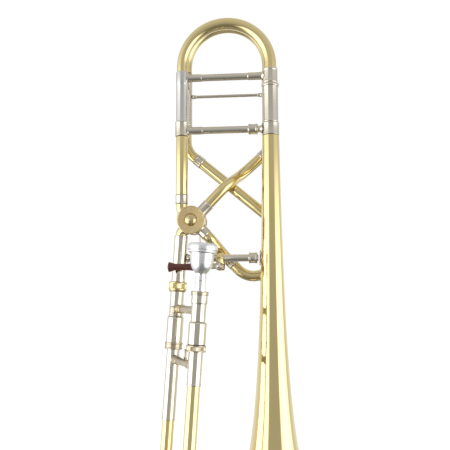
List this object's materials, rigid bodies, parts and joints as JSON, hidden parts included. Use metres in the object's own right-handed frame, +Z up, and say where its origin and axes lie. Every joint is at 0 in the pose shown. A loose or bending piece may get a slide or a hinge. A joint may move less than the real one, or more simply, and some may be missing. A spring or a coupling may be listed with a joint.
{
  "type": "trombone",
  "caption": "Tenor trombone with a hand slide, a flared bell, a main tuning slide and a thumb-operated rotary valve that adds a loop of tubing behind the bell.",
  "frame": {"origin": "centre of the bell's mouth, in the plane of its rim", "axes": "+Z up along the bell's axis towards the tuning slides; +X from the neckpipe to the bell; +Y towards the loop of tubing behind the bell"},
  "size_m": [0.2897, 0.2242, 1.1861],
  "materials": {
    "brass": "clear lacquer over polished yellow brass",
    "brushed_brass": "satin, finely brushed brass",
    "nickel_silver": "polished nickel silver, slightly warm",
    "chrome_plate": "hard chrome, polished",
    "silver_plate": "bright silver plate",
    "dark_wood": "oiled dark red-brown hardwood",
    "bumper_rubber": "matt black rubber"
  },
  "bodies": {
    "bell_section": {"bell": "brass", "bell_tail_ferrule": "nickel_silver", "main_slide_sleeve_right": "nickel_silver", "main_slide_leg_left": "chrome_plate", "neckpipe_upper_ferrule": "nickel_silver", "neckpipe": "brass", "neckpipe_lower_ferrule": "nickel_silver", "neckpipe_elbow": "brass", "valve_casing": "nickel_silver", "valve_front_cap": "brushed_brass", "valve_back_plate": "brass", "gooseneck_elbow": "brass", "gooseneck": "nickel_silver", "valve_port_ferrule_upper": "nickel_silver", "f_feed_tube": "brass", "f_feed_ferrule": "nickel_silver", "f_feed_bend": "brass", "f_slide_sleeve_left": "nickel_silver", "f_slide_sleeve_right": "nickel_silver", "f_slide_brace": "nickel_silver", "f_return_bend": "brass", "f_return_ferrule": "nickel_silver", "f_return_crook": "brass", "f_return_lower_ferrule": "nickel_silver", "f_return_lower_tube": "brass", "valve_port_ferrule_lower": "nickel_silver", "f_tube_strut": "brass", "upper_bell_brace": "nickel_silver", "lower_bell_brace": "nickel_silver", "bell_flange": "nickel_silver", "lever_bracket": "brass"},
    "main_tuning_slide": {"main_bow": "brass", "main_bow_leg_left": "nickel_silver", "main_bow_leg_right": "nickel_silver", "main_bow_brace": "nickel_silver"},
    "f_tuning_slide": {"f_bow": "brass", "f_bow_leg_left": "nickel_silver", "f_bow_leg_right": "nickel_silver"},
    "thumb_trigger": {"thumb_lever": "nickel_silver"},
    "trigger_roller": {"thumb_roller": "dark_wood"},
    "trigger_link": {"rotor_link": "nickel_silver"},
    "rotor": {"valve_rotor": "nickel_silver", "rotor_stop_arm": "nickel_silver"},
    "lock_nut": {"slide_lock_nut": "brass"},
    "slide_section": {"slide_receiver": "nickel_silver", "cork_barrel_far": "nickel_silver", "cork_barrel_near": "nickel_silver", "mouthpiece_receiver": "nickel_silver", "inner_slide_tube_far": "chrome_plate", "inner_slide_tube_near": "chrome_plate", "inner_slide_brace": "nickel_silver"},
    "lock_ring": {"slide_lock_ring": "nickel_silver"},
    "mouthpiece": {"mouthpiece": "silver_plate"},
    "outer_slide": {"outer_slide_tube_far": "brass", "outer_slide_tube_near": "brass", "outer_grip_brace": "nickel_silver", "slide_crook": "brass", "water_key_saddle": "brass", "slide_bumper": "bumper_rubber"},
    "water_key": {"water_key": "nickel_silver"}
  },
  "joints": [
    {"name": "main_tuning_slide_pull", "type": "slide", "parent": "bell_section", "child": "main_tuning_slide", "axis": [0, 0, 1], "range_m": [0, 0.045]},
    {"name": "f_tuning_slide_pull", "type": "slide", "parent": "bell_section", "child": "f_tuning_slide", "axis": [0, 0, 1], "range_m": [0, 0.055]},
    {"name": "thumb_lever_press", "type": "hinge", "parent": "bell_section", "child": "thumb_trigger", "pos_m": [-0.069, 0, 0.3526], "axis": [0, -1, 0], "range_deg": [0, 21], "stiffness_Nm_per_rad": 0.35, "springref_deg": -20.05},
    {"name": "roller_spin", "type": "hinge", "parent": "thumb_trigger", "child": "trigger_roller", "pos_m": [-0.118, -0.0185, 0.3517], "axis": [1, 0, 0], "continuous": true},
    {"name": "link_swing", "type": "hinge", "parent": "thumb_trigger", "child": "trigger_link", "pos_m": [-0.09997, 0, 0.35834], "axis": [0, -1, 0], "range_deg": [-21, 0]},
    {"name": "rotor_turn", "type": "hinge", "parent": "bell_section", "child": "rotor", "pos_m": [-0.1066, 0, 0.4141], "axis": [0, 1, 0], "range_deg": [0, 90]},
    {"name": "lock_nut_turn", "type": "hinge", "parent": "bell_section", "child": "lock_nut", "pos_m": [-0.12666, -0.00038, 0.32563], "axis": [0.0623, 0.0318, 0.9975], "continuous": true},
    {"name": "slide_swivel", "type": "hinge", "parent": "bell_section", "child": "slide_section", "pos_m": [-0.12666, -0.00038, 0.32563], "axis": [0.0623, 0.0318, 0.9975], "range_deg": [-20, 8]},
    {"name": "hand_slide", "type": "slide", "parent": "slide_section", "child": "outer_slide", "axis": [-0.0623, -0.0318, -0.9975], "range_m": [0, 0.6]},
    {"name": "lock_ring_turn", "type": "hinge", "parent": "slide_section", "child": "lock_ring", "pos_m": [-0.0904, -0.07931, 0.2517], "axis": [0.0623, 0.0318, 0.9975], "range_deg": [0, 35]},
    {"name": "mouthpiece_pull", "type": "slide", "parent": "slide_section", "child": "mouthpiece", "axis": [0.0623, 0.0318, 0.9975], "range_m": [0, 0.04]},
    {"name": "water_key_press", "type": "hinge", "parent": "outer_slide", "child": "water_key", "pos_m": [-0.12962, -0.10933, -0.44312], "axis": [-0.88, -0.4699, 0.07], "range_deg": [0, 9], "stiffness_Nm_per_rad": 0.05, "springref_deg": -28.65}
  ],
  "couplings": [
    {"joint": "rotor_turn", "follows": "thumb_lever_press", "ratio": 4.2857},
    {"joint": "link_swing", "follows": "thumb_lever_press", "ratio": -1}
  ]
}
